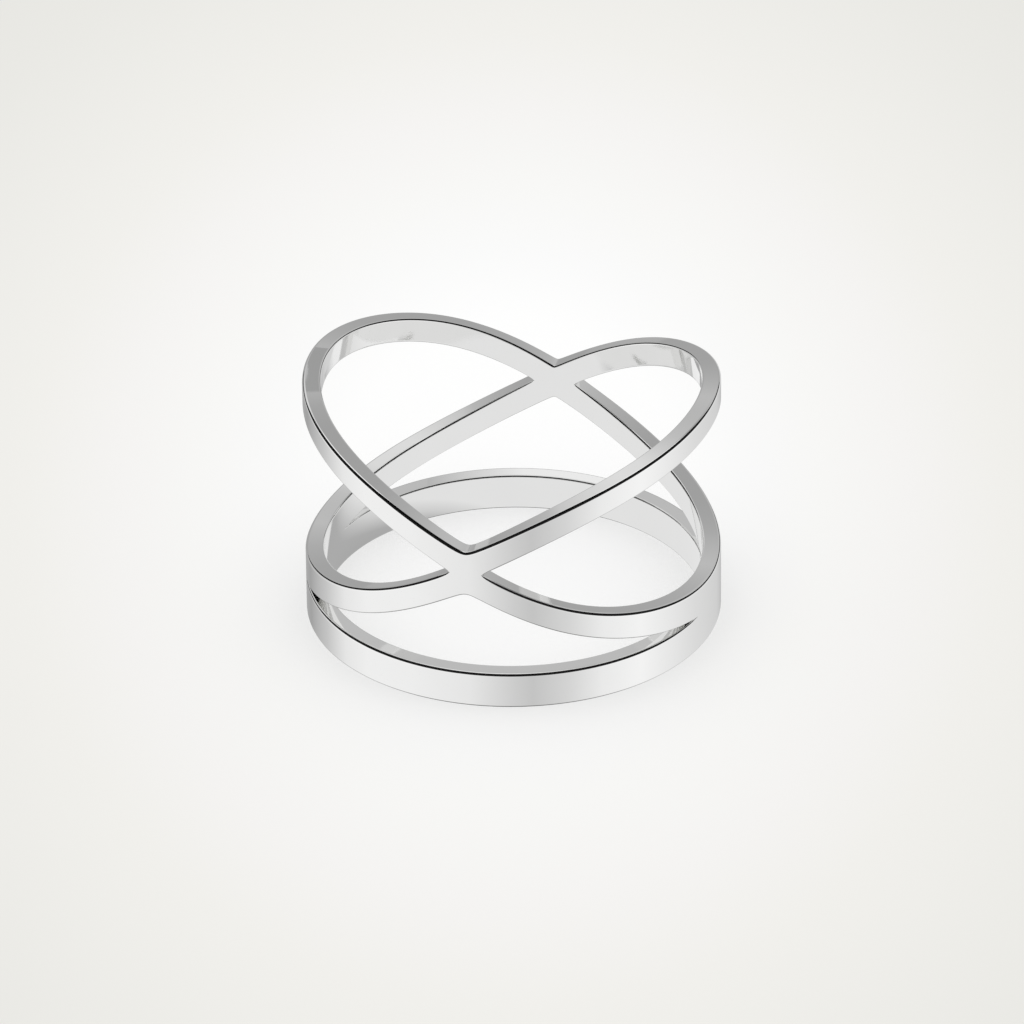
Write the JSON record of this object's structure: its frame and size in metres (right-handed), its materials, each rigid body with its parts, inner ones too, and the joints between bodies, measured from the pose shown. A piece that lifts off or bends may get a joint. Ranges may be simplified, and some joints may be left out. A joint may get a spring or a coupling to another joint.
{
  "type": "crossover ring",
  "caption": "Plain polished ring: a level band with two slim tilted loops above it that cross at the front and back and part at the sides.",
  "frame": {"origin": "middle of the finger hole, level with the band's flat underside", "axes": "+Z along the finger, from the band to the crown of the loops; +X towards one side, where the loops part; -Y towards the front, where they cross"},
  "size_m": [0.019, 0.019, 0.0119],
  "materials": {
    "silver": "polished silver"
  },
  "bodies": {
    "root": {"ring": "silver"}
  },
  "joints": []
}
